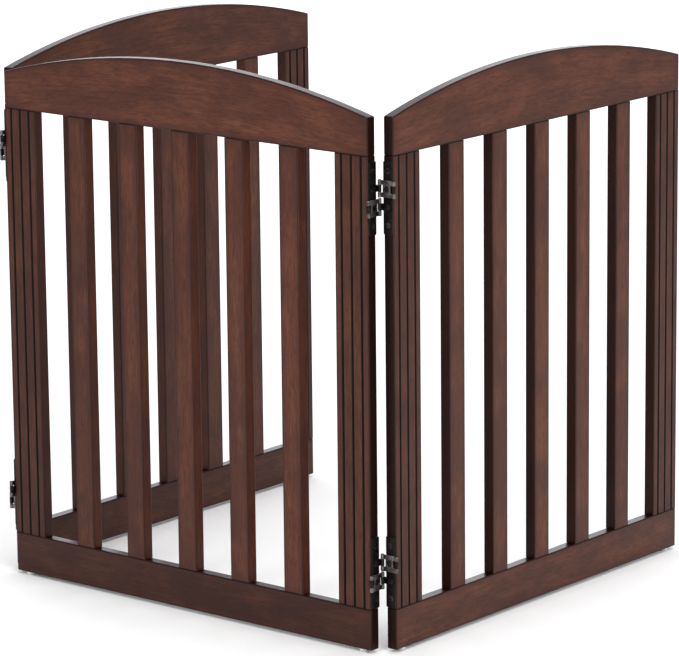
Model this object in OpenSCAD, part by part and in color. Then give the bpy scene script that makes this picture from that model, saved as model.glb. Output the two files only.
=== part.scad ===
// Free-standing folding pet gate: three slatted wooden panels with arched top rails,
// joined by double-action screen hinges that fold either way.
// The middle panel stands across the front, and the side panels stand square to it.
// The outer faces of the panels point away from the space that the gate closes off.

/* [Panels] */
// Width of each panel
panel_w = 510; // [470:1:560]
// Thickness of each panel
panel_t = 12.5; // [12:0.1:16]

/* [Rails] */
// Height of the bottom rail
bottom_rail_h = 44.5; // [36:0.5:60]
// Length of the stiles and slats, which stand between the rails
bar_len = 481; // [400:1:600]
// Height of the top rail at its ends
top_rail_h = 40.5; // [36:0.5:60]
// Rise of the arch at the middle of the top rail
arch_rise = 34; // [10:1:60]

/* [Stiles and slats] */
// Width of each stile
stile_w = 44; // [42:1:52]
// Width of each slat
slat_w = 26; // [20:1:34]
// Width of each groove at the face of a stile
groove_w = 2.2; // [1.4:0.1:3]
// Depth of each groove
groove_d = 1.6; // [0.8:0.1:2]
// Distance from one groove to the next
groove_pitch = 13; // [10:0.5:14]
// Chamfer along the edges of the wooden members
edge_cut = 0.8; // [0.4:0.1:1.2]

/* [Hinges] */
// Height of each hinge leaf
leaf_h = 77; // [74:1:90]
// Thickness of each hinge leaf
leaf_t = 1.5; // [1.2:0.1:1.5]
// Gap between an upper leaf and the top rail
upper_inset = 5.5; // [0.5:0.5:12]
// Gap between a lower leaf and the bottom rail
lower_inset = 1; // [0.5:0.5:12]
// Height of each hinge link
link_h = 18; // [17:0.5:20]
// Thickness of the plate of a link
link_t = 1.2; // [1:0.1:1.4]
// Distance of the pins from the end face of a panel
pin_x = 3.2; // [3.2:0.1:3.5]
// Distance of the pins from the broad face of a panel
pin_clear = 3; // [2.8:0.1:3.5]
// Outer radius of a hinge knuckle
knuckle_r = 2; // [1.8:0.1:2]
// Radius of the hinge pins
pin_r = 1; // [0.8:0.1:1.1]

/* [Fixings] */
// Radius of the screw shanks
screw_r = 1.6; // [1.3:0.1:1.8]
// Length of a screw below the leaf
screw_len = 15; // [12:1:18]
// Radius of the dowels
dowel_r = 3; // [2.5:0.5:3.5]
// Depth of a dowel in a rail
dowel_in_rail = 12; // [8:1:14]
// Depth of a dowel in a stile or slat
dowel_in_bar = 8; // [6:1:8]

/* [Glides] */
// Radius of the plastic glides
glide_r = 5.2; // [4.5:0.1:5.8]
// Height of the glides
glide_h = 3.5; // [3:0.1:5]
// Distance of a glide's centre from the end of its rail
glide_inset = 15; // [12:1:40]

/* [Hidden] */
$fn = 64;
tiny = 0.01;
margin = 1;             // by which a cut runs past the face it opens
fit = 0.05;             // radial clearance of pins, screws, nails and dowels
slat_n = 5;
HINGES = ["upper", "lower"];
SIDES = ["right", "left"];
PANELS = ["middle", "right", "left"];

// Levels, measured from the underside of the bottom rail
top_joint_z = bottom_rail_h + bar_len;
peak_z = top_joint_z + top_rail_h + arch_rise;
arch_r = (pow(panel_w / 2, 2) + pow(arch_rise, 2)) / (2 * arch_rise);

// Slats
slat_gap = (panel_w - 2 * stile_w - slat_n * slat_w) / (slat_n + 1);
slat_pitch = slat_w + slat_gap;
first_slat_x = stile_w + slat_gap;

// Grooves: three, centred on the stile's width
groove_xs = [for (i = [-1:1]) stile_w / 2 + i * groove_pitch];

// Dowels: two in each end of a stile, one in each end of a slat
stile_dowel_share = 0.3;
stile_dowel_xs = [stile_w * stile_dowel_share, stile_w * (1 - stile_dowel_share)];
slat_dowel_x = slat_w / 2;
dowel_spare = 0.5;      // air left at the bottom of a dowel hole

// Hinge pins, measured from the middle of a panel's end face
pin_y = panel_t / 2 + pin_clear;
leaf_reveal = 0.3;      // wood showing along each side of a leaf
leaf_w = panel_t - 2 * leaf_reveal;
link_space = 1.6;       // space between the two links of a hinge, one above the other
link_level = (link_space + link_h) / 2;
link_knuckle_h = 5;
tab_h = 7.4;
notch_reach = 4.2;      // from a pin's axis to the bottom of the notch
link_hole_r = 3.4;
pin_head_r = 1.5;
pin_head_h = 0.4;
leaf_z = [top_joint_z - upper_inset - leaf_h, bottom_rail_h + lower_inset];

// Screws: one level with each link, and one near each end of the leaf
end_screw_inset = 10;
end_screw_z = leaf_h / 2 - end_screw_inset;
screw_zs = [-end_screw_z, -link_level, link_level, end_screw_z];
screw_head_r = 3;
screw_point = 4;        // length of the tapered point
screw_tip_r = 0.2;
recess_w = 0.7;
recess_len = 3.2;
recess_depth = 0.7;

// Glides and their nails
glide_round = 1;
nail_r = 0.9;
nail_head_r = 2.2;
nail_head_h = 0.8;
nail_head_recess = 1;
nail_len = 14;
glide_xs = [glide_inset, panel_w - glide_inset];

// Where the side panel's end lies when it stands square to the middle panel
side_end_y = pin_y + pin_x;
footprint_y = [-(pin_y + knuckle_r), side_end_y + panel_w];
origin_shift = [0, -(footprint_y[0] + footprint_y[1]) / 2, glide_h];

function stile_names(p) = p == "middle" ? ["left", "right"] : ["hinge", "free"];
function is_hinged(p, i) = p == "middle" || i == 0;
function hinge_names(part) = [for (s = SIDES) for (h = HINGES) str(s, "_", h, "_hinge_", part)];

NODES = concat(
    [for (p = PANELS) str(p, "_top_rail")],
    [for (p = PANELS) str(p, "_bottom_rail")],
    [for (p = PANELS) for (s = stile_names(p)) str(p, "_", s, "_stile")],
    [for (p = PANELS) for (i = [1:slat_n]) str(p, "_slat_", i)],
    [for (p = PANELS) str(p, "_dowels")],
    [for (p = PANELS) str(p, "_glides")],
    [for (p = PANELS) str(p, "_glide_nails")],
    [for (p = PANELS) str(p, "_screws")],
    hinge_names("middle_leaf"),
    hinge_names("side_leaf"),
    hinge_names("inner_link"),
    hinge_names("outer_link"),
    [for (s = SIDES) str(s, "_inner_link_pins")],
    [for (s = SIDES) str(s, "_outer_link_pins")]
);
node = "all";
function wanted(name) = node == "all" || node == name;

// ---- Places -------------------------------------------------------------------------

// A panel's own frame runs from one end (x = 0) to the other (x = panel_w).
// Its outer face is at y = -panel_t / 2, and its bottom rail stands on z = 0.
module place_panel(p) {
    translate(origin_shift) {
        if (p == "middle") translate([-panel_w / 2, 0, 0]) children();
        if (p == "right") turn_side() children();
        if (p == "left") mirror([1, 0, 0]) turn_side() children();
    }
}

// Turns a panel a quarter turn about the inner pin of the right-hand corner
module turn_side() {
    translate([panel_w / 2 + pin_x, pin_y, 0])
        rotate([0, 0, 90])
            translate([pin_x, -pin_y, 0])
                children();
}

// The corner between the middle panel and the given side panel:
// x = 0 is the end face of the middle panel and +x points away from it
module place_corner(side) {
    translate(origin_shift)
        mirror([side == "left" ? 1 : 0, 0, 0])
            translate([panel_w / 2, 0, 0])
                children();
}

// An edge frame has its origin in the middle of a panel's end face.
// +x points away from the panel and +y towards the panel's inner face.
module middle_edge(side) {
    place_corner(side) children();
}

module side_edge(side) {
    place_panel(side) mirror([1, 0, 0]) children();
}

// The height of a hinge's middle, by its name
function hinge_mid_z(h) = (h == "upper" ? leaf_z[0] : leaf_z[1]) + leaf_h / 2;

// All hinges are alike, so those of the left-hand corner are upside down
module at_hinge(side, h) {
    translate([0, 0, hinge_mid_z(h)])
        mirror([0, 0, side == "left" ? 1 : 0])
            children();
}

// ---- Wooden members -----------------------------------------------------------------

// A round bar or hole along z, reaching below and above z = 0 by the given lengths
module upright(r, below, above) {
    translate([0, 0, -below]) cylinder(r = r, h = below + above);
}

// Section of an upright member: chamfered corners
module bar_section(w) {
    c = edge_cut;
    t = panel_t / 2;
    polygon([[c, -t], [w - c, -t], [w, c - t], [w, t - c], [w - c, t], [c, t], [0, t - c], [0, c - t]]);
}

// V grooves along both faces of a stile
module groove_section() {
    for (x = groove_xs)
        for (s = [-1, 1])
            translate([x, s * panel_t / 2])
                polygon([[-groove_w / 2, s], [-groove_w / 2, 0], [0, -s * groove_d],
                         [groove_w / 2, 0], [groove_w / 2, s]]);
}

// Dowel holes in both ends of a stile or slat
module bar_dowel_holes(xs) {
    depth = dowel_in_bar + dowel_spare;
    for (x = xs)
        for (z = [bottom_rail_h, top_joint_z])
            translate([x, 0, z]) upright(dowel_r + fit, depth, depth);
}

module stile(hinged) {
    color("#4e3129")
        difference() {
            translate([0, 0, bottom_rail_h])
                linear_extrude(bar_len)
                    difference() {
                        bar_section(stile_w);
                        groove_section();
                    }
            bar_dowel_holes(stile_dowel_xs);
            if (hinged)
                for (h = HINGES)
                    for (z = screw_zs)
                        translate([-tiny, 0, hinge_mid_z(h) + z])
                            rotate([0, 90, 0])
                                cylinder(r = screw_r + fit, h = screw_len + margin);
        }
}

module slat() {
    color("#5c3a2d")
        difference() {
            translate([0, 0, bottom_rail_h])
                linear_extrude(bar_len)
                    bar_section(slat_w);
            bar_dowel_holes([slat_dowel_x]);
        }
}

// Every dowel's place along a panel
function dowel_xs() = concat(
    stile_dowel_xs,
    [for (i = [0:slat_n - 1]) first_slat_x + i * slat_pitch + slat_dowel_x],
    [for (x = stile_dowel_xs) panel_w - x]
);

module rail_dowel_holes(z) {
    depth = dowel_in_rail + dowel_spare;
    for (x = dowel_xs())
        translate([x, 0, z]) upright(dowel_r + fit, depth, depth);
}

module bottom_rail() {
    c = edge_cut;
    t = panel_t / 2;
    h = bottom_rail_h;
    color("#543428")
        difference() {
            rotate([90, 0, 90])
                linear_extrude(panel_w)
                    polygon([[c - t, 0], [t - c, 0], [t, c],
                             [t, h - c], [t - c, h], [c - t, h], [-t, h - c], [-t, c]]);
            rail_dowel_holes(bottom_rail_h);
            for (x = glide_xs)
                translate([x, 0, 0]) upright(nail_r + fit, margin, nail_len + margin);
        }
}

module top_rail() {
    color("#543428")
        difference() {
            translate([0, panel_t / 2, 0])
                rotate([90, 0, 0])
                    linear_extrude(panel_t)
                        intersection() {
                            translate([0, top_joint_z]) square([panel_w, top_rail_h + arch_rise]);
                            translate([panel_w / 2, peak_z - arch_r]) circle(r = arch_r, $fn = 360);
                        }
            rail_dowel_holes(top_joint_z);
        }
}

module dowels() {
    color("burlywood")
        for (x = dowel_xs()) {
            translate([x, 0, bottom_rail_h]) upright(dowel_r, dowel_in_rail, dowel_in_bar);
            translate([x, 0, top_joint_z]) upright(dowel_r, dowel_in_bar, dowel_in_rail);
        }
}

// ---- Glides -------------------------------------------------------------------------

// A plastic disc with a rounded lower edge and a stepped hole for its nail
module glides() {
    head_z = nail_head_recess - glide_h;
    color("#e4e6e6")
        for (x = glide_xs)
            translate([x, 0, 0])
                difference() {
                    rotate_extrude() {
                        translate([0, glide_round - glide_h])
                            square([glide_r, glide_h - glide_round]);
                        translate([0, -glide_h]) square([glide_r - glide_round, glide_round + tiny]);
                        translate([glide_r - glide_round, glide_round - glide_h]) circle(r = glide_round);
                    }
                    upright(nail_r + fit, glide_h + margin, margin);
                    upright(nail_head_r + fit, glide_h + margin, head_z + nail_head_h);
                }
}

module glide_nails() {
    head_z = nail_head_recess - glide_h;
    color("silver")
        for (x = glide_xs)
            translate([x, 0, head_z]) {
                cylinder(r = nail_head_r, h = nail_head_h);
                cylinder(r = nail_r, h = nail_len - head_z);
            }
}

// ---- Hinges -------------------------------------------------------------------------

// One tab of a leaf in its edge frame: a tongue from the plate to a knuckle on the pin.
// side is 1 for the inner edge and -1 for the outer edge.
module leaf_tab(side, bored) {
    difference() {
        union() {
            translate([0, side > 0 ? 0 : -pin_y, -tab_h / 2]) cube([leaf_t, pin_y, tab_h]);
            translate([pin_x, side * pin_y, 0]) upright(knuckle_r, tab_h / 2, tab_h / 2);
        }
        if (bored)
            translate([pin_x, side * pin_y, 0]) upright(pin_r + fit, tab_h, tab_h);
    }
}

// A leaf in its edge frame, centred on z = 0. top_side says which edge the upper tab is on;
// the lower tab is on the other edge.
module leaf(top_side, low_bored) {
    color("#26262a")
        difference() {
            union() {
                translate([0, -leaf_w / 2, -leaf_h / 2]) cube([leaf_t, leaf_w, leaf_h]);
                translate([0, 0, link_level]) leaf_tab(top_side, true);
                translate([0, 0, -link_level]) leaf_tab(-top_side, low_bored);
            }
            for (z = screw_zs)
                translate([-tiny, 0, z])
                    rotate([0, 90, 0])
                        cylinder(r1 = screw_r + 2 * fit, r2 = screw_head_r + 2 * fit,
                                 h = leaf_t + 2 * tiny);
        }
}

// A link lies along x between its two pins, with its plate across y, centred on z = 0
module link() {
    notch_x = pin_y - notch_reach;
    notch_h = link_h - 2 * link_knuckle_h;
    color("#6a625a")
        difference() {
            union() {
                translate([-pin_y, -link_t / 2, -link_h / 2]) cube([2 * pin_y, link_t, link_h]);
                for (s = [-1, 1])
                    translate([s * pin_y, 0, 0]) upright(knuckle_r, link_h / 2, link_h / 2);
            }
            for (s = [-1, 1]) {
                translate([s > 0 ? notch_x : -notch_x - 2 * notch_reach,
                           -knuckle_r - margin, -notch_h / 2])
                    cube([2 * notch_reach, 2 * (knuckle_r + margin), notch_h]);
                translate([s * pin_y, 0, 0]) upright(pin_r + fit, link_h, link_h);
            }
            rotate([90, 0, 0]) upright(link_hole_r, link_t, link_t);
        }
}

// The inner link joins the middle panel's inner edge to the side panel's outer edge
module inner_link(side, h) {
    place_corner(side)
        at_hinge(side, h)
            translate([pin_x + pin_y, pin_y, link_level])
                link();
}

// The outer link joins the middle panel's outer edge to the side panel's inner edge
module outer_link(side, h) {
    place_corner(side)
        at_hinge(side, h)
            translate([pin_x, 0, -link_level])
                rotate([0, 0, 90])
                    link();
}

// The end of a pin: a shank up through z to the top of a link, and a peened head on it
module pin_end(shank) {
    translate([0, 0, link_h / 2]) {
        upright(pin_r, shank, 0);
        upright(pin_head_r, 0, pin_head_h);
    }
}

// A pin through the whole height of a link
module whole_pin() {
    for (s = [0, 1]) mirror([0, 0, s]) pin_end(link_h / 2 + tiny);
}

// A pin in two short ends, each in one of the link's own knuckles
module split_pin() {
    for (s = [0, 1]) mirror([0, 0, s]) pin_end(link_knuckle_h);
}

module inner_link_pins(side) {
    color("#3a3a3c")
        place_corner(side)
            for (h = HINGES)
                for (x = [pin_x, pin_x + 2 * pin_y])
                    at_hinge(side, h)
                        translate([x, pin_y, link_level])
                            whole_pin();
}

module outer_link_pins(side) {
    color("#3a3a3c")
        place_corner(side)
            for (h = HINGES)
                at_hinge(side, h)
                    translate([pin_x, 0, -link_level]) {
                        translate([0, -pin_y, 0]) whole_pin();
                        translate([0, pin_y, 0]) split_pin();
                    }
}

// A countersunk wood screw along x in an edge frame, with its head flush in the leaf
module screw() {
    difference() {
        rotate([0, 90, 0]) {
            cylinder(r1 = screw_r, r2 = screw_head_r, h = leaf_t);
            translate([0, 0, screw_point - screw_len])
                cylinder(r = screw_r, h = screw_len - screw_point + tiny);
            translate([0, 0, -screw_len])
                cylinder(r1 = screw_tip_r, r2 = screw_r, h = screw_point + tiny);
        }
        for (a = [0, 90])
            translate([leaf_t, 0, 0])
                rotate([a, 0, 0])
                    cube([2 * recess_depth, recess_len, recess_w], center = true);
    }
}

module edge_screws() {
    color("#1f1f22")
        for (h = HINGES)
            for (z = screw_zs)
                translate([0, 0, hinge_mid_z(h) + z]) screw();
}

// ---- Assembly -----------------------------------------------------------------------

module panel_stile(p, i) {
    place_panel(p)
        translate([i * panel_w, 0, 0])
            mirror([i, 0, 0])
                stile(is_hinged(p, i));
}

module panel_screws(p) {
    if (p == "middle") for (s = SIDES) middle_edge(s) edge_screws();
    else side_edge(p) edge_screws();
}

for (p = PANELS) {
    if (wanted(str(p, "_top_rail"))) place_panel(p) top_rail();
    if (wanted(str(p, "_bottom_rail"))) place_panel(p) bottom_rail();
    for (i = [0, 1])
        if (wanted(str(p, "_", stile_names(p)[i], "_stile"))) panel_stile(p, i);
    for (i = [1:slat_n])
        if (wanted(str(p, "_slat_", i)))
            place_panel(p) translate([first_slat_x + (i - 1) * slat_pitch, 0, 0]) slat();
    if (wanted(str(p, "_dowels"))) place_panel(p) dowels();
    if (wanted(str(p, "_glides"))) place_panel(p) glides();
    if (wanted(str(p, "_glide_nails"))) place_panel(p) glide_nails();
    if (wanted(str(p, "_screws"))) panel_screws(p);
}
for (s = SIDES) {
    for (h = HINGES) {
        if (wanted(str(s, "_", h, "_hinge_middle_leaf"))) middle_edge(s) at_hinge(s, h) leaf(1, true);
        if (wanted(str(s, "_", h, "_hinge_side_leaf"))) side_edge(s) at_hinge(s, h) leaf(-1, false);
        if (wanted(str(s, "_", h, "_hinge_inner_link"))) inner_link(s, h);
        if (wanted(str(s, "_", h, "_hinge_outer_link"))) outer_link(s, h);
    }
    if (wanted(str(s, "_inner_link_pins"))) inner_link_pins(s);
    if (wanted(str(s, "_outer_link_pins"))) outer_link_pins(s);
}
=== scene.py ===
"""Looks for the folding pet gate: stained boards, hinges, glides, studio and camera."""
import math
import random

import bmesh
import bpy
from mathutils import Matrix, Vector


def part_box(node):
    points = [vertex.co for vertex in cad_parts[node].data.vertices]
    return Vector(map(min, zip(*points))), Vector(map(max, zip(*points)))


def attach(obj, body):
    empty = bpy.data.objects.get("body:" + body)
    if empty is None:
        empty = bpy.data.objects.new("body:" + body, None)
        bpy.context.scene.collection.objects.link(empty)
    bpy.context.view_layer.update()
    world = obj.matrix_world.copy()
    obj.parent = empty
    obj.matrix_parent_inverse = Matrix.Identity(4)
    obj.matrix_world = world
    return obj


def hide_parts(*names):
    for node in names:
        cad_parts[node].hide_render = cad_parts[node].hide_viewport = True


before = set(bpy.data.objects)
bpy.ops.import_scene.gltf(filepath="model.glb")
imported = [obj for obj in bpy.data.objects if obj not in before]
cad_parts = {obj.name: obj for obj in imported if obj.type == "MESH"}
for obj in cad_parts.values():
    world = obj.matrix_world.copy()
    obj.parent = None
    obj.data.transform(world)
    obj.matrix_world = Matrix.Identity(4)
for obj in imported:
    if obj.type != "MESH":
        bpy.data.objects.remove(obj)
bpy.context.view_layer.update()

MM = 0.001
PANELS = ("middle", "right", "left")
SIDES = ("right", "left")
HINGES = ("upper", "lower")

# Wood, in metres
TOP_RAIL_END = 40.5 * MM    # height of the top rail at its ends
RAIL_ROUND = 1.3 * MM       # rounding of a rail's long edges
BAR_ROUND = 0.9 * MM        # rounding of a stile's or slat's long edges
BAR_END_ROUND = 0.35 * MM   # easing of the ends of stiles and slats
SHARPEST = 0.15             # least rounding at a rail's end corners, as a share of RAIL_ROUND
ROUND_STEPS = 4             # in a quarter circle of a board's edge
ARCH_STEPS = 72
STRAIGHT_STEPS = 8
GROOVE_W = 2.6 * MM
GROOVE_D = 1.6 * MM
GROOVE_LIP = 0.35 * MM
GROOVE_LIP_D = 0.35 * GROOVE_LIP
GROOVE_PITCH = 13 * MM
# Darkness at a groove's lip, walls and bottom; above 1 the groove's near-black colour comes in, stain
# pooled in the groove and painted shade of the recess
DARK_LIP, DARK_WALL, DARK_BOTTOM = 0.3, 1.7, 2.0
# Darkness of the sides of each panel's bars, beside 1 for the ends of panels: stain, and on the right
# panel mostly painted shade on its bars' sides
SIDE_STAIN_AND_SHADE = {"middle": 0.1, "right": 0.85, "left": 0.2}
STILE_STAIN = 0.62          # at least this much on the inner sides of stiles

GRAIN_SPREAD = 40           # how far apart, in metres, boards take their figure
TONE_SPREAD = 0.05          # how much boards differ in darkness besides BOARD_TONES_AND_SHADE

# Boards drawn darker or lighter than the others: their own tone, and on the middle panel painted shade
# and light, darker on its left slats and lighter on its right stile
BOARD_TONES_AND_SHADE = {"middle_bottom_rail": 0.50, "middle_left_stile": 0.97, "middle_right_stile": 1.07,
         "middle_slat_1": 0.84, "middle_slat_2": 0.86, "middle_slat_3": 0.88,
         "left_top_rail": 0.92, "left_bottom_rail": 0.80,
         "right_free_stile": 1.07, "right_slat_2": 1.06, "right_slat_3": 1.04, "right_slat_4": 1.10}

# Stain colours, linear red, green and blue; the rim colour is painted shade and the groove colour is
# partly painted shade
STAIN_PLAIN = (0.082, 0.0275, 0.0185)
STAIN_RED = (0.136, 0.0445, 0.0240)
STAIN_ORANGE = (0.190, 0.0670, 0.0290)
STAIN_BAND = (0.060, 0.0195, 0.0120)
STAIN_STROKE = (0.040, 0.0135, 0.0085)
STAIN_FIBRE = (0.036, 0.0120, 0.0075)
STAIN_PORE = (0.020, 0.0060, 0.0040)
STAIN_EDGE = (0.040, 0.0125, 0.0110)
# Painted shade: a thin dark line along the boards' edges and seams
RIM_SHADE = (0.017, 0.0050, 0.0042)
STAIN_END = (0.0090, 0.0022, 0.0012)
# Near-black in the grooves: stain pooled there and painted shade of the recess
GROOVE_STAIN_AND_SHADE = (0.0022, 0.0004, 0.0002)
FLANK_TINT = (0.86, 0.58, 0.34)

# Hinges, in metres
CIRCLE_STEPS = 40           # in the outline of a hole or a knuckle
LEAF_T = 1.5 * MM
LEAF_W = 11.9 * MM
LEAF_H = 77 * MM
LEAF_CORNER = 1.2 * MM
LEAF_EDGE = 0.22 * MM       # rounding of a leaf's edges
LINK_H = 18 * MM
LINK_T = 1.2 * MM
LINK_LEVEL = 9.8 * MM       # of each link's middle from the middle of the hinge
LINK_EDGE = 0.2 * MM
LINK_HOLE_R = 3.4 * MM
LINK_SETBACK = 0.8 * MM     # from a pin's axis to the end of the link's plate
LINK_KNUCKLE_H = 5 * MM
NOTCH_REACH = 4.2 * MM
TAB_H = 7.4 * MM
PIN_X = 3.2 * MM            # of the pins from the panel's end face
PIN_Y = 9.25 * MM           # of the pins from the middle of the panel's thickness
PIN_BORE_R = 1.08 * MM
KNUCKLE_R = 2 * MM
KNUCKLE_EDGE = 0.3 * MM
SCREW_HOLE_R = 3.06 * MM
SCREW_ZS = (-28.5 * MM, -9.8 * MM, 9.8 * MM, 28.5 * MM)

# Camera: the photograph's viewing angle
CAM_AZIMUTH = 39.387
CAM_ELEVATION = 12.684
CAM_ROLL = -0.582
CAM_LENS = 220.6
CAM_PLACE = (2.88124, -3.50811, 1.29054)
SENSOR_W = 36

# Studio, in metres
FLOOR_HALF = 30
WORLD_LIGHT = 0.55
AIM = (0, 0, 0.3)           # what the lights point at


# ---- Node materials -------------------------------------------------------------------

class Nodes:
    """A new material and short calls that add nodes to it."""

    def __init__(self, name):
        self.material = bpy.data.materials.new(name)
        self.material.use_nodes = True
        self.tree = self.material.node_tree
        self.shader = self.tree.nodes["Principled BSDF"]

    def add(self, kind, **settings):
        """Adds a node and sets its properties."""
        node = self.tree.nodes.new(kind)
        for key, value in settings.items():
            setattr(node, key, value)
        return node

    def put(self, value, socket):
        """Links value to socket if it is an output, or sets it."""
        if isinstance(value, bpy.types.NodeSocket):
            self.tree.links.new(value, socket)
        else:
            socket.default_value = value

    def math(self, operation, a, b=0.0, c=0.0, clamp=False):
        """The result of a math node."""
        node = self.add("ShaderNodeMath", operation=operation, use_clamp=clamp)
        for value, socket in zip((a, b, c), node.inputs):
            self.put(value, socket)
        return node.outputs[0]

    def scaled(self, vector, factors):
        """A vector times factors, component by component."""
        node = self.add("ShaderNodeVectorMath", operation="MULTIPLY")
        self.put(vector, node.inputs[0])
        self.put(factors, node.inputs[1])
        return node.outputs[0]

    def grey(self, value):
        """A colour with the same value in all three channels."""
        node = self.add("ShaderNodeCombineXYZ")
        for socket in node.inputs:
            self.put(value, socket)
        return node.outputs[0]

    def attribute(self, name):
        return self.add("ShaderNodeAttribute", attribute_name=name)

    def noise(self, vector, detail=2.0, roughness=0.5, distortion=0.0, scale=1.0):
        """A noise texture, around 0.5."""
        node = self.add("ShaderNodeTexNoise")
        self.put(vector, node.inputs["Vector"])
        node.inputs["Scale"].default_value = scale
        node.inputs["Detail"].default_value = detail
        node.inputs["Roughness"].default_value = roughness
        node.inputs["Distortion"].default_value = distortion
        return node.outputs["Fac"]

    def ramp(self, value, low, high, out_low=0.0, out_high=1.0):
        """Takes low..high to out_low..out_high, and holds the ends."""
        node = self.add("ShaderNodeMapRange")
        node.interpolation_type = "SMOOTHSTEP"
        self.put(value, node.inputs["Value"])
        for key, number in zip(("From Min", "From Max", "To Min", "To Max"),
                               (low, high, out_low, out_high)):
            node.inputs[key].default_value = number
        return node.outputs["Result"]

    def mix(self, factor, a, b, blend="MIX"):
        """Colour a changed towards colour b."""
        node = self.add("ShaderNodeMix", data_type="RGBA", blend_type=blend)
        self.put(factor, node.inputs["Factor"])
        for value, socket in ((a, node.inputs["A"]), (b, node.inputs["B"])):
            self.put((*value, 1.0) if isinstance(value, tuple) else value, socket)
        return node.outputs["Result"]

    def bump(self, height, strength, distance):
        """Gives the shader a bump from a height."""
        node = self.add("ShaderNodeBump")
        self.put(height, node.inputs["Height"])
        node.inputs["Strength"].default_value = strength
        node.inputs["Distance"].default_value = distance
        self.put(node.outputs["Normal"], self.shader.inputs["Normal"])

    def finish(self, **inputs):
        """Sets or links the shader's inputs, by name with _ for a space."""
        for key, value in inputs.items():
            value = (*value, 1.0) if isinstance(value, tuple) else value
            self.put(value, self.shader.inputs[key.replace("_", " ")])
        return self.material


def stained_walnut():
    """Dark stain under satin lacquer, with painted shade at the edges, in the grooves and on
    some bar sides. The attributes say where on its board a point is.
    """
    n = Nodes("stained_walnut")
    grain = n.attribute("grain").outputs["Vector"]
    tone = n.attribute("tone").outputs["Fac"]
    spot = n.add("ShaderNodeSeparateXYZ")
    n.put(n.attribute("spot").outputs["Vector"], spot.inputs[0])
    half = n.add("ShaderNodeSeparateXYZ")
    n.put(n.attribute("half").outputs["Vector"], half.inputs[0])
    stain = half.outputs["Z"]
    on_face = n.math("SUBTRACT", 1.0, spot.outputs["Z"])

    mottle = n.noise(n.scaled(grain, (13, 24, 24)), detail=3, roughness=0.6, distortion=0.5)
    patches = n.noise(n.scaled(grain, (24, 34, 34)), detail=2, roughness=0.5, distortion=0.3)
    bands = n.noise(n.scaled(grain, (6, 120, 120)), detail=3, roughness=0.6, distortion=0.6)
    strokes = n.noise(n.scaled(grain, (48, 430, 430)), detail=2, roughness=0.65, distortion=1.2)
    fibres = n.noise(n.scaled(grain, (70, 1100, 1100)), detail=2, roughness=0.6)
    pores = n.noise(n.scaled(grain, (110, 2300, 2300)), detail=1)
    pore_mask = n.ramp(pores, 0.60, 0.72)

    # Stain: reddish in the light patches, nearly black-brown in the dark ones
    colour = n.mix(n.ramp(mottle, 0.36, 0.66), STAIN_PLAIN, STAIN_RED)
    colour = n.mix(n.ramp(patches, 0.52, 0.78, 0.0, 0.5), colour, STAIN_ORANGE)
    colour = n.mix(n.ramp(bands, 0.36, 0.62, 0.0, 0.42), colour, STAIN_BAND)
    colour = n.mix(n.ramp(strokes, 0.30, 0.60, 0.62, 0.0), colour, STAIN_STROKE)
    colour = n.mix(n.ramp(fibres, 0.30, 0.70, 0.30, 0.0), colour, STAIN_FIBRE)
    colour = n.mix(n.math("MULTIPLY", pore_mask, 0.5), colour, STAIN_PORE)
    colour = n.mix(1.0, colour, n.grey(tone), blend="MULTIPLY")

    # The stain is heavier towards a board's edges and ends, and on its narrow sides, where painted shade
    # is added on some bars
    from_edge = n.math("SUBTRACT", half.outputs["Y"], n.math("ABSOLUTE", spot.outputs["Y"]))
    from_end = n.math("SUBTRACT", half.outputs["X"], n.math("ABSOLUTE", spot.outputs["X"]))
    near_edge = n.ramp(from_edge, 0.0, 9 * MM, 0.55, 0.0)
    near_end = n.ramp(from_end, 0.0, 14 * MM, 0.50, 0.0)
    heavy = n.math("MAXIMUM", near_edge, near_end)
    heavy = n.math("MULTIPLY", heavy, n.ramp(mottle, 0.25, 0.75, 1.15, 0.75))
    heavy = n.math("MULTIPLY", heavy, on_face)
    colour = n.mix(heavy, colour, STAIN_EDGE)
    # Painted shade: a thin dark rim along each board's edges, where the seams and rounded edges fall
    # into shade
    rim = n.math("MAXIMUM", n.ramp(from_edge, 0.7 * MM, 2.4 * MM, 0.85, 0.0),
                 n.ramp(from_end, 0.4 * MM, 1.6 * MM, 0.8, 0.0))
    colour = n.mix(n.math("MULTIPLY", rim, on_face), colour, RIM_SHADE)
    colour = n.mix(spot.outputs["Z"], colour, n.mix(1.0, colour, FLANK_TINT, blend="MULTIPLY"))
    # The darkness value darkens end grain and narrow sides; on the right panel's bar sides it is painted
    # shade
    colour = n.mix(n.math("MINIMUM", stain, 1.0), colour, STAIN_END)
    # Painted shade with pooled stain: the grooves go near-black
    in_groove = n.math("SUBTRACT", stain, 1.0, clamp=True)
    colour = n.mix(in_groove, colour, GROOVE_STAIN_AND_SHADE)

    height = n.math("MULTIPLY_ADD", fibres, 0.6, n.math("MULTIPLY", pore_mask, -0.8))
    height = n.math("MULTIPLY_ADD", strokes, 0.7, height)
    n.bump(height, 0.25, 0.12 * MM)
    rough = n.math("MULTIPLY_ADD", fibres, 0.10, n.ramp(mottle, 0.3, 0.7, 0.34, 0.28))
    rough = n.math("MULTIPLY_ADD", in_groove, 0.35, rough)
    return n.finish(Base_Color=colour, Roughness=rough, IOR=1.45, Specular_IOR_Level=0.16,
                    Coat_Weight=0.04, Coat_Roughness=0.2)


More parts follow.
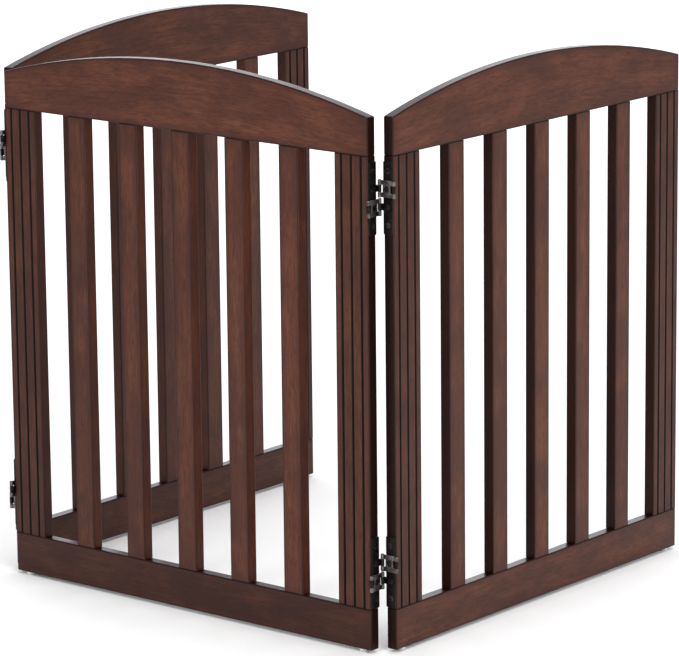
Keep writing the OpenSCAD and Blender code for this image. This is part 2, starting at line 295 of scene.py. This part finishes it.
def metal(name, dark, light, rough, metallic, speckle=1.0, bump=0.15):
    """A plated or painted metal with fine speckle and slight wear."""
    n = Nodes(name)
    place = n.add("ShaderNodeTexCoord").outputs["Object"]
    cloud = n.noise(place, detail=3, scale=160)
    fine = n.noise(place, detail=2, scale=1100)
    spots = n.ramp(fine, 0.45, 0.68, 0.0, speckle)
    colour = n.mix(n.ramp(cloud, 0.35, 0.65), dark, light)
    colour = n.mix(n.math("MULTIPLY", spots, 0.5), colour, tuple(min(1.0, 1.6 * c) for c in light))
    n.bump(n.math("MULTIPLY_ADD", fine, 0.6, cloud), bump, 0.08 * MM)
    roughness = n.math("MULTIPLY_ADD", cloud, 0.2, rough - 0.1)
    return n.finish(Base_Color=colour, Roughness=roughness, Metallic=metallic)


def clear_plastic():
    """Milky, slightly see-through glide plastic."""
    n = Nodes("clear_plastic")
    place = n.add("ShaderNodeTexCoord").outputs["Object"]
    cloud = n.noise(place, detail=2, scale=240)
    colour = n.mix(cloud, (0.62, 0.63, 0.62), (0.86, 0.87, 0.86))
    n.bump(n.noise(place, detail=2, scale=900), 0.08, 0.05 * MM)
    return n.finish(Base_Color=colour, Roughness=n.ramp(cloud, 0.3, 0.7, 0.16, 0.26), IOR=1.49,
                    Transmission_Weight=0.35)


def bare_beech():
    """Pale dowel wood, grain along Z."""
    n = Nodes("bare_beech")
    place = n.add("ShaderNodeTexCoord").outputs["Object"]
    fleck = n.noise(n.scaled(place, (900, 900, 60)), detail=2)
    colour = n.mix(fleck, (0.46, 0.30, 0.17), (0.68, 0.50, 0.32))
    n.bump(fleck, 0.1, 0.1 * MM)
    return n.finish(Base_Color=colour, Roughness=n.ramp(fleck, 0.2, 0.8, 0.55, 0.7))


# ---- Boards ---------------------------------------------------------------------------

def corner_arc(cx, cy, radius, start):
    """Points and turns (0 to 1) of a quarter circle round (cx, cy) from angle start."""
    points = []
    for k in range(ROUND_STEPS + 1):
        a = start + math.pi / 2 * k / ROUND_STEPS
        points.append((cx + radius * math.cos(a), cy + radius * math.sin(a), k / ROUND_STEPS))
    return points


def rounded_outline(half_a, half_b, radius):
    """A rounded rectangle as (a, b, side): side is 1 on the faces across a and 0 across b."""
    a, b = half_a - radius, half_b - radius
    corners = ((a, b, 0), (-a, b, 1), (-a, -b, 2), (a, -b, 3))
    outline = []
    for ca, cb, quarter in corners:
        for x, y, turn in corner_arc(ca, cb, radius, quarter * math.pi / 2):
            outline.append((x, y, turn if quarter % 2 else 1 - turn))
    return outline


def grooved_outline(half_a, half_b, radius):
    """The stile's outline: a rounded rectangle with V grooves in the faces across b."""
    wall, lip = GROOVE_W / 2, GROOVE_W / 2 + GROOVE_LIP
    groove = ((-lip, 0.0, DARK_LIP), (-wall, GROOVE_LIP_D, DARK_WALL), (0.0, GROOVE_D, DARK_BOTTOM),
              (wall, GROOVE_LIP_D, DARK_WALL), (lip, 0.0, DARK_LIP))
    plain = rounded_outline(half_a, half_b, radius)
    quarter = ROUND_STEPS + 1
    outline = plain[:quarter]
    for middle in (GROOVE_PITCH, 0.0, -GROOVE_PITCH):
        outline += [(middle - a, half_b - depth, dark) for a, depth, dark in groove]
    outline += plain[quarter:3 * quarter]
    for middle in (-GROOVE_PITCH, 0.0, GROOVE_PITCH):
        outline += [(middle + a, depth - half_b, dark) for a, depth, dark in groove]
    return outline + plain[3 * quarter:]


class Panel:
    """One panel's place in the frame. Its own x runs along it, y from its outer face to its
    inner face, with y = 0 in the middle of its thickness, and z up from the floor."""

    def __init__(self, name):
        low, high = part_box(name + "_bottom_rail")
        centre = (low + high) / 2
        self.name = name
        self.body = name + "_panel"
        if name == "middle":
            self.length, self.thickness = high.x - low.x, high.y - low.y
            self.origin = Vector((low.x, centre.y, 0))
            self.along, self.inward = Vector((1, 0, 0)), Vector((0, 1, 0))
        else:
            self.length, self.thickness = high.y - low.y, high.x - low.x
            self.origin = Vector((centre.x, low.y, 0))
            self.along = Vector((0, 1, 0))
            self.inward = Vector((-1 if name == "right" else 1, 0, 0))

    def matrix(self):
        """The matrix from the panel's own axes to the frame."""
        columns = (self.along, self.inward, Vector((0, 0, 1)))
        turn = Matrix([[c[i] for c in columns] for i in range(3)]).to_4x4()
        return Matrix.Translation(self.origin) @ turn

    def span(self, node):
        """A node's lowest and highest corners in the panel's own axes."""
        corners = [self.matrix().inverted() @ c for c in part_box(node)]
        low = Vector([min(c[i] for c in corners) for i in range(3)])
        high = Vector([max(c[i] for c in corners) for i in range(3)])
        return low, high


def finish_piece(name, mesh, material, body, replaced=()):
    """Adds a mesh as a piece that rides on a body and stands for CAD nodes."""
    obj = bpy.data.objects.new(name, mesh)
    bpy.context.scene.collection.objects.link(obj)
    mesh.materials.clear()
    mesh.materials.append(material)
    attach(obj, body)
    if replaced:
        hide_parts(*replaced)
    return obj


def loft(rings, soft_rings):
    """A closed mesh through rings of equal length. Each ring point is (place, side).
    The strips next to a soft ring, and those across a changing side, are smooth."""
    mesh_build = bmesh.new()
    layers = []
    for ring in rings:
        layers.append([mesh_build.verts.new(place) for place, _ in ring])
    count = len(rings[0])
    for r in range(len(rings) - 1):
        for i in range(count):
            j = (i + 1) % count
            face = mesh_build.faces.new((layers[r][i], layers[r][j], layers[r + 1][j], layers[r + 1][i]))
            changes = abs(rings[r][i][1] - rings[r][j][1]) > 1e-6
            face.smooth = changes or r in soft_rings
    mesh_build.faces.new(layers[0])
    mesh_build.faces.new(list(reversed(layers[-1])))
    return mesh_build


def store(mesh, name, kind, key, values):
    """Stores a value for each vertex as an attribute."""
    attribute = mesh.attributes.new(name, kind, "POINT")
    attribute.data.foreach_set(key, [x for value in values for x in value])


def board(panel, node, rings, soft_rings, along_z):
    """Makes a board from rings in the panel's axes. Each ring point is (place, flank, stain,
    half_width, across). flank is 1 on the narrow sides and 0 on the broad faces, stain is
    the darkness there, stain with painted shade on some bar sides and in grooves, and
    across is the distance from the board's middle line."""
    dice = random.Random(node)
    build = loft([[(p[0], p[1]) for p in ring] for ring in rings], soft_rings)
    mesh = bpy.data.meshes.new(node)
    build.to_mesh(mesh)
    build.free()
    points = [p for ring in rings for p in ring]
    low, high = panel.span(node)
    centre, half_size = (low + high) / 2, (high - low) / 2
    # grain: where the figure is taken from. spot: place along and across, and flank.
    # half: half the length and width, and darkness, stain with painted shade on some bar sides
    # and in grooves. tone: how dark the whole board is.
    shift = Vector([dice.uniform(0, GRAIN_SPREAD) for _ in range(3)])
    half_len = half_size.z if along_z else half_size.x
    grain, spot, half = [], [], []
    for place, flank, stain, half_width, across in points:
        along = place.z - centre.z if along_z else place.x - centre.x
        grain.append((along + shift.x, across + shift.y, place.y + shift.z))
        spot.append((along, across, flank))
        half.append((half_len, half_width, stain))
    store(mesh, "grain", "FLOAT_VECTOR", "vector", grain)
    store(mesh, "spot", "FLOAT_VECTOR", "vector", spot)
    store(mesh, "half", "FLOAT_VECTOR", "vector", half)
    # Partly painted shade: on the middle panel the boards darken towards its left end
    tone = BOARD_TONES_AND_SHADE.get(node, 1.0) * dice.uniform(1 - TONE_SPREAD, 1 + TONE_SPREAD)
    store(mesh, "tone", "FLOAT", "value", [(tone,)] * len(points))
    mesh.transform(panel.matrix())
    turn_out(mesh)
    return finish_piece(node + "_wood", mesh, WALNUT, panel.body, [node])


def turn_out(mesh):
    """Makes every face's normal point out of the solid."""
    build = bmesh.new()
    build.from_mesh(mesh)
    bmesh.ops.recalc_face_normals(build, faces=build.faces)
    build.to_mesh(mesh)
    build.free()


def rail(panel, node, arched):
    """A rail with rounded edges; an arched one rises to a circular arc."""
    low, high = panel.span(node)
    length, half_t = panel.length, panel.thickness / 2
    end_h = TOP_RAIL_END if arched else high.z - low.z
    rise = high.z - low.z - end_h
    arc_r = ((length / 2) ** 2 + rise ** 2) / (2 * rise) if arched else 0.0
    turns = [k / ROUND_STEPS for k in range(ROUND_STEPS + 1)]
    # (distance from the end, inset of the section, darkness) round the end's edges
    ends = [(RAIL_ROUND - RAIL_ROUND * math.cos(t * math.pi / 2),
             RAIL_ROUND - RAIL_ROUND * math.sin(t * math.pi / 2), 1 - t) for t in turns]
    inner = ARCH_STEPS if arched else STRAIGHT_STEPS
    step = (length - 2 * RAIL_ROUND) / inner
    stations = ends + [(RAIL_ROUND + i * step, 0.0, 0.0) for i in range(1, inner)]
    stations += [(length - d, inset, dark) for d, inset, dark in reversed(ends)]
    rings = []
    for x, inset, dark in stations:
        from_middle = x - length / 2
        top = low.z + end_h
        if arched:
            top = high.z - arc_r + math.sqrt(arc_r ** 2 - from_middle ** 2)
        half_h, middle = (top - low.z) / 2, (top + low.z) / 2
        radius = max(RAIL_ROUND - inset, SHARPEST * RAIL_ROUND)
        outline = rounded_outline(half_h - inset, half_t - inset, radius)
        rings.append([(Vector((x, b, middle + a)), max(side, dark), max(side, dark), half_h, a)
                      for a, b, side in outline])
    count = len(rings)
    soft = set(range(ROUND_STEPS)) | set(range(count - 1 - ROUND_STEPS, count - 1))
    return board(panel, node, rings, soft, along_z=False)


def bar(panel, node, grooved):
    """A stile or slat, standing between the rails."""
    low, high = panel.span(node)
    half_w, half_t = (high.x - low.x) / 2, panel.thickness / 2
    centre = (low.x + high.x) / 2
    at_start = centre < panel.length / 2
    # Painted shade: the right panel's bars get near-black sides for the shade on them; elsewhere this
    # darkness is stain
    side_stain_and_shade = max(SIDE_STAIN_AND_SHADE[panel.name], STILE_STAIN if grooved else 0.0)
    stations = [(low.z, BAR_END_ROUND), (low.z + BAR_END_ROUND, 0.0)]
    stations += [(high.z - BAR_END_ROUND, 0.0), (high.z, BAR_END_ROUND)]
    rings = []
    for z, inset in stations:
        if grooved:
            outline = grooved_outline(half_w - inset, half_t - inset, BAR_ROUND)
        else:
            outline = rounded_outline(half_w - inset, half_t - inset, BAR_ROUND)
        ring = []
        for a, b, side in outline:
            at_panel_end = grooved and (a < 0) == at_start
            on_side = abs(a) > half_w - 2 * BAR_ROUND
            stain = side if at_panel_end or not on_side else side * side_stain_and_shade
            ring.append((Vector((centre + a, b, z)), side if on_side else 0.0, stain, half_w, a))
        rings.append(ring)
    return board(panel, node, rings, {0, 2}, along_z=True)


# ---- Hinges ---------------------------------------------------------------------------

def plate(outlines, thickness, edge):
    """A flat plate in its own xy plane from closed outlines, the first one outside and the
    others holes, with rounded edges. Its middle is at z = 0."""
    curve = bpy.data.curves.new("plate", "CURVE")
    curve.dimensions = "2D"
    curve.fill_mode = "BOTH"
    curve.extrude = thickness / 2 - edge
    curve.bevel_depth = edge
    curve.bevel_resolution = 2
    curve.offset = -edge
    for outline in outlines:
        spline = curve.splines.new("POLY")
        spline.points.add(len(outline) - 1)
        for point, (x, y) in zip(spline.points, outline):
            point.co = (x, y, 0, 1)
        spline.use_cyclic_u = True
    holder = bpy.data.objects.new("plate", curve)
    bpy.context.scene.collection.objects.link(holder)
    graph = bpy.context.evaluated_depsgraph_get()
    mesh = bpy.data.meshes.new_from_object(holder.evaluated_get(graph))
    bpy.data.objects.remove(holder)
    bpy.data.curves.remove(curve)
    return mesh


def circle(x, y, radius):
    """The outline of a circle."""
    turns = [2 * math.pi * k / CIRCLE_STEPS for k in range(CIRCLE_STEPS)]
    return [(x + radius * math.cos(a), y + radius * math.sin(a)) for a in turns]


def tube(outer, bore, height, edge):
    """A bored cylinder along z, centred on the origin, with rounded rims."""
    half = height / 2
    cut = 0.3 * edge            # about 1 - cos 45 degrees, halfway round the rim
    profile = [(bore, -half), (outer - edge, -half), (outer - cut, -half + cut),
               (outer, -half + edge), (outer, half - edge), (outer - cut, half - cut),
               (outer - edge, half), (bore, half)]
    build = bmesh.new()
    rings = []
    for k in range(CIRCLE_STEPS):
        a = 2 * math.pi * k / CIRCLE_STEPS
        rings.append([build.verts.new((r * math.cos(a), r * math.sin(a), z)) for r, z in profile])
    for k in range(CIRCLE_STEPS):
        ring, after = rings[k], rings[(k + 1) % CIRCLE_STEPS]
        for i in range(len(profile)):
            j = (i + 1) % len(profile)
            face = build.faces.new((ring[i], ring[j], after[j], after[i]))
            face.smooth = True
    mesh = bpy.data.meshes.new("tube")
    build.to_mesh(mesh)
    build.free()
    return mesh


def join(parts):
    """One mesh from (mesh, matrix) parts; the parts' own meshes are used up."""
    build = bmesh.new()
    for mesh, matrix in parts:
        mesh.transform(matrix)
        build.from_mesh(mesh)
        bpy.data.meshes.remove(mesh)
    bmesh.ops.remove_doubles(build, verts=build.verts, dist=1e-7)
    joined = bpy.data.meshes.new("joined")
    bmesh.ops.recalc_face_normals(build, faces=build.faces)
    build.to_mesh(joined)
    build.free()
    return joined


def axes(origin, x, y, z):
    """The matrix that takes a part's own axes to the given directions."""
    turn = Matrix([[column[i] for column in (x, y, z)] for i in range(3)]).to_4x4()
    return Matrix.Translation(origin) @ turn


def leaf_mesh(top_side):
    """A leaf in its edge frame: x out of the panel, y to its inner face, z up from mid-height.
    top_side is 1 if the upper tab is on the inner edge, or -1."""
    w, h, t = LEAF_W / 2, LEAF_H / 2, TAB_H / 2
    c = LEAF_CORNER

    def tab(side, level):
        points = [(side * w, level - t), (side * PIN_Y, level - t), (side * PIN_Y, level + t),
                  (side * w, level + t)]
        return points if side > 0 else list(reversed(points))

    right_level = top_side * LINK_LEVEL
    outline = [(w - c, -h), (w, c - h)] + tab(1, right_level) + [(w, h - c), (w - c, h)]
    outline += [(c - w, h), (-w, h - c)] + tab(-1, -right_level) + [(-w, c - h), (c - w, -h)]
    holes = [circle(0, z, SCREW_HOLE_R) for z in SCREW_ZS]
    flat = plate([outline] + holes, LEAF_T, LEAF_EDGE)
    upright = axes(Vector((LEAF_T / 2, 0, 0)), Vector((0, 1, 0)), Vector((0, 0, 1)), Vector((1, 0, 0)))
    parts = [(flat, upright)]
    for side in (-1, 1):
        place = Vector((PIN_X, side * PIN_Y, side * right_level))
        parts.append((tube(KNUCKLE_R, PIN_BORE_R, TAB_H, KNUCKLE_EDGE), Matrix.Translation(place)))
    return join(parts)


def link_mesh():
    """A link along x between its pins, its plate across y, z up from its mid-height."""
    x_end, x_notch = PIN_Y - LINK_SETBACK, PIN_Y - NOTCH_REACH
    z_end, z_notch = LINK_H / 2, LINK_H / 2 - LINK_KNUCKLE_H
    outline = [(x_end, -z_end), (x_end, -z_notch), (x_notch, -z_notch), (x_notch, z_notch),
               (x_end, z_notch), (x_end, z_end), (-x_end, z_end), (-x_end, z_notch),
               (-x_notch, z_notch), (-x_notch, -z_notch), (-x_end, -z_notch), (-x_end, -z_end)]
    flat = plate([outline, circle(0, 0, LINK_HOLE_R)], LINK_T, LINK_EDGE)
    upright = axes(Vector((0, 0, 0)), Vector((1, 0, 0)), Vector((0, 0, 1)), Vector((0, -1, 0)))
    parts = [(flat, upright)]
    for side in (-1, 1):
        for end in (-1, 1):
            knuckle = tube(KNUCKLE_R, PIN_BORE_R, LINK_KNUCKLE_H, KNUCKLE_EDGE)
            place = Vector((side * PIN_Y, 0, end * (LINK_H - LINK_KNUCKLE_H) / 2))
            parts.append((knuckle, Matrix.Translation(place)))
    return join(parts)


def mid_height(node):
    """Height of a node's middle."""
    low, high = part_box(node)
    return (low.z + high.z) / 2


def add_leaf(panel, corner, node, top_side):
    """A leaf on a panel's end face. corner is 0 for the panel's start and 1 for its far end."""
    outward = panel.along * (1 if corner else -1)
    origin = panel.origin + panel.along * (panel.length * corner) + Vector((0, 0, mid_height(node)))
    mesh = leaf_mesh(top_side)
    mesh.transform(axes(origin, outward, panel.inward, Vector((0, 0, 1))))
    turn_out(mesh)
    finish_piece(node + "_plate", mesh, BLACK_STEEL, panel.body, [node])


def add_link(node, body, along_x):
    """A link in its place, along x or along y."""
    low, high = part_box(node)
    x, y = Vector((1, 0, 0)), Vector((0, 1, 0))
    mesh = link_mesh()
    mesh.transform(axes((low + high) / 2, x if along_x else y, y if along_x else -x, Vector((0, 0, 1))))
    finish_piece(node + "_plate", mesh, BRONZED_STEEL, body, [node])


# ---- Studio ---------------------------------------------------------------------------

def look_along(azimuth, elevation, roll):
    """The camera's turn when it looks back at the object from azimuth and elevation."""
    a, e = math.radians(azimuth), math.radians(elevation)
    back = Vector((math.sin(a) * math.cos(e), -math.cos(a) * math.cos(e), math.sin(e)))
    turn = (-back).to_track_quat("-Z", "Y").to_matrix().to_4x4()
    return turn @ Matrix.Rotation(math.radians(roll), 4, "Z")


def add_camera():
    """The camera at the photograph's viewing angle."""
    camera = bpy.data.objects.new("camera", bpy.data.cameras.new("camera"))
    camera.data.lens = CAM_LENS
    camera.data.sensor_width = SENSOR_W
    camera.data.clip_end = 60
    turn = look_along(CAM_AZIMUTH, CAM_ELEVATION, CAM_ROLL)
    camera.matrix_world = Matrix.Translation(CAM_PLACE) @ turn
    bpy.context.scene.collection.objects.link(camera)
    bpy.context.scene.camera = camera


def add_softbox(name, place, width, height, radiance, colour=(1, 1, 1)):
    """A rectangular light that the camera doesn't see, of the same brightness at any size."""
    light = bpy.data.lights.new(name, "AREA")
    light.shape = "RECTANGLE"
    light.size, light.size_y = width, height
    light.energy = radiance * math.pi * width * height
    light.color = colour
    obj = bpy.data.objects.new(name, light)
    turn = (Vector(AIM) - Vector(place)).to_track_quat("-Z", "Y").to_matrix().to_4x4()
    obj.matrix_world = Matrix.Translation(place) @ turn
    obj.visible_camera = False
    bpy.context.scene.collection.objects.link(obj)


def add_floor():
    """A plain pale floor."""
    s = FLOOR_HALF
    mesh = bpy.data.meshes.new("floor")
    mesh.from_pydata([(-s, -s, 0), (s, -s, 0), (s, s, 0), (-s, s, 0)], [], [(0, 1, 2, 3)])
    n = Nodes("pale_floor")
    place = n.add("ShaderNodeTexCoord").outputs["Object"]
    cloud = n.noise(place, detail=2, scale=3)
    colour = n.mix(cloud, (0.90, 0.90, 0.90), (0.93, 0.93, 0.93))
    mesh.materials.append(n.finish(Base_Color=colour, Roughness=0.8, Specular_IOR_Level=0.2))
    floor = bpy.data.objects.new("floor", mesh)
    bpy.context.scene.collection.objects.link(floor)


def add_studio():
    """Even surrounding light and four softboxes."""
    world = bpy.data.worlds.new("studio")
    world.use_nodes = True
    background = world.node_tree.nodes["Background"]
    background.inputs["Color"].default_value = (1, 1, 1, 1)
    background.inputs["Strength"].default_value = WORLD_LIGHT
    bpy.context.scene.world = world
    bpy.context.scene.view_settings.view_transform = "Standard"
    # place, width, height, radiance
    add_softbox("key", (0.5, -4.4, 2.2), 1.1, 2.2, 9.0)
    add_softbox("fill", (3.7, -1.9, 2.5), 2.4, 2.0, 6.4)
    add_softbox("back", (-3.0, 3.6, 1.9), 6.5, 3.0, 2.4, (0.99, 0.96, 1.0))
    add_softbox("top", (0.2, 0.2, 4.5), 3.0, 3.0, 3.2)


# ---- Building -------------------------------------------------------------------------

add_camera()
WALNUT = stained_walnut()
BLACK_STEEL = metal("black_steel", (0.0030, 0.0021, 0.0018), (0.0110, 0.0078, 0.0070), 0.36, 0.7)
BRONZED_STEEL = metal("bronzed_steel", (0.050, 0.041, 0.039), (0.165, 0.146, 0.144), 0.30, 0.95)
SCREW_STEEL = metal("screw_steel", (0.040, 0.033, 0.031), (0.105, 0.090, 0.086), 0.28, 0.95)
NAIL_STEEL = metal("nail_steel", (0.34, 0.34, 0.35), (0.52, 0.52, 0.53), 0.34, 1.0, speckle=0.3)
PLASTIC = clear_plastic()
BEECH = bare_beech()

panels = {name: Panel(name) for name in PANELS}
STILES = {"middle": ("left", "right"), "right": ("hinge", "free"), "left": ("hinge", "free")}
for name, panel in panels.items():
    rail(panel, name + "_top_rail", arched=True)
    rail(panel, name + "_bottom_rail", arched=False)
    for stile in STILES[name]:
        bar(panel, name + "_" + stile + "_stile", grooved=True)
    for i in range(1, 6):
        bar(panel, name + "_slat_" + str(i), grooved=False)

for side in SIDES:
    for hinge in HINGES:
        start = side + "_" + hinge + "_hinge_"
        upright = 1 if side == "right" else -1
        add_leaf(panels["middle"], 1 if side == "right" else 0, start + "middle_leaf", upright)
        add_leaf(panels[side], 0, start + "side_leaf", -upright)
        add_link(start + "inner_link", side + "_inner_links", along_x=True)
        add_link(start + "outer_link", side + "_outer_links", along_x=False)

CAD_LOOKS = {"dowels": BEECH, "glides": PLASTIC, "glide_nails": NAIL_STEEL, "screws": SCREW_STEEL,
             "link_pins": BLACK_STEEL}
for node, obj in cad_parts.items():
    for ending, material in CAD_LOOKS.items():
        if node.endswith("_" + ending):
            obj.data.materials.clear()
            obj.data.materials.append(material)

add_floor()
add_studio()
